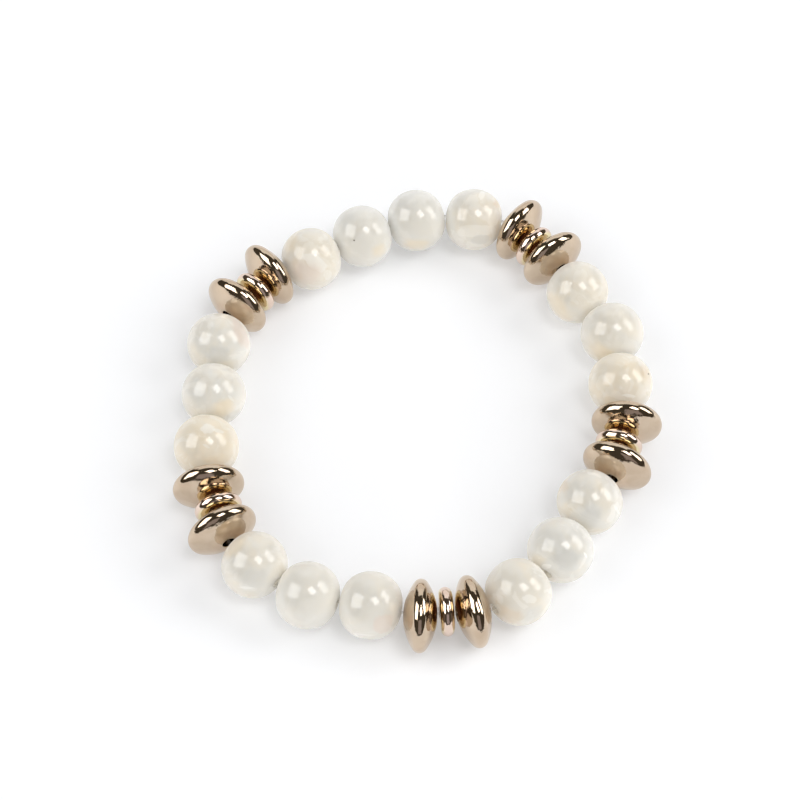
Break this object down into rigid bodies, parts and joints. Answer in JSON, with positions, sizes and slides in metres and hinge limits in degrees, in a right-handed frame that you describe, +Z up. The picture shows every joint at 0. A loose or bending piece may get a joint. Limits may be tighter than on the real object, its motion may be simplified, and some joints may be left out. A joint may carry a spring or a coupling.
{
  "type": "stretch bracelet",
  "caption": "Stretch bracelet of round milky stone beads with pale gold saucer-and-rondelle spacers, strung on hidden elastic and lying flat in a loop.",
  "frame": {"origin": "on the table, under the middle of the loop's box", "axes": "+Z up out of the table, along the way a hand goes through the loop; +X to the picture's right, +Y away from the viewer"},
  "size_m": [0.075, 0.0826, 0.0109],
  "materials": {
    "milky_stone": "polished, milky and cloudy, with fine healed cracks",
    "pale_gold": "mirror polished pale gold plating",
    "clear_elastic": "smooth, semi-clear"
  },
  "bodies": {
    "root": {"bead_01": "milky_stone", "bead_02": "milky_stone", "bead_03": "milky_stone", "bead_04": "milky_stone", "bead_05": "milky_stone", "bead_06": "milky_stone", "bead_07": "milky_stone", "bead_08": "milky_stone", "bead_09": "milky_stone", "bead_10": "milky_stone", "bead_11": "milky_stone", "bead_12": "milky_stone", "bead_13": "milky_stone", "bead_14": "milky_stone", "bead_15": "milky_stone", "bead_16": "milky_stone", "saucer_01": "pale_gold", "saucer_02": "pale_gold", "saucer_03": "pale_gold", "saucer_04": "pale_gold", "saucer_05": "pale_gold", "saucer_06": "pale_gold", "saucer_07": "pale_gold", "saucer_08": "pale_gold", "saucer_09": "pale_gold", "saucer_10": "pale_gold", "rondelle_01": "pale_gold", "rondelle_02": "pale_gold", "rondelle_03": "pale_gold", "rondelle_04": "pale_gold", "rondelle_05": "pale_gold", "elastic_cord": "clear_elastic"}
  },
  "joints": []
}
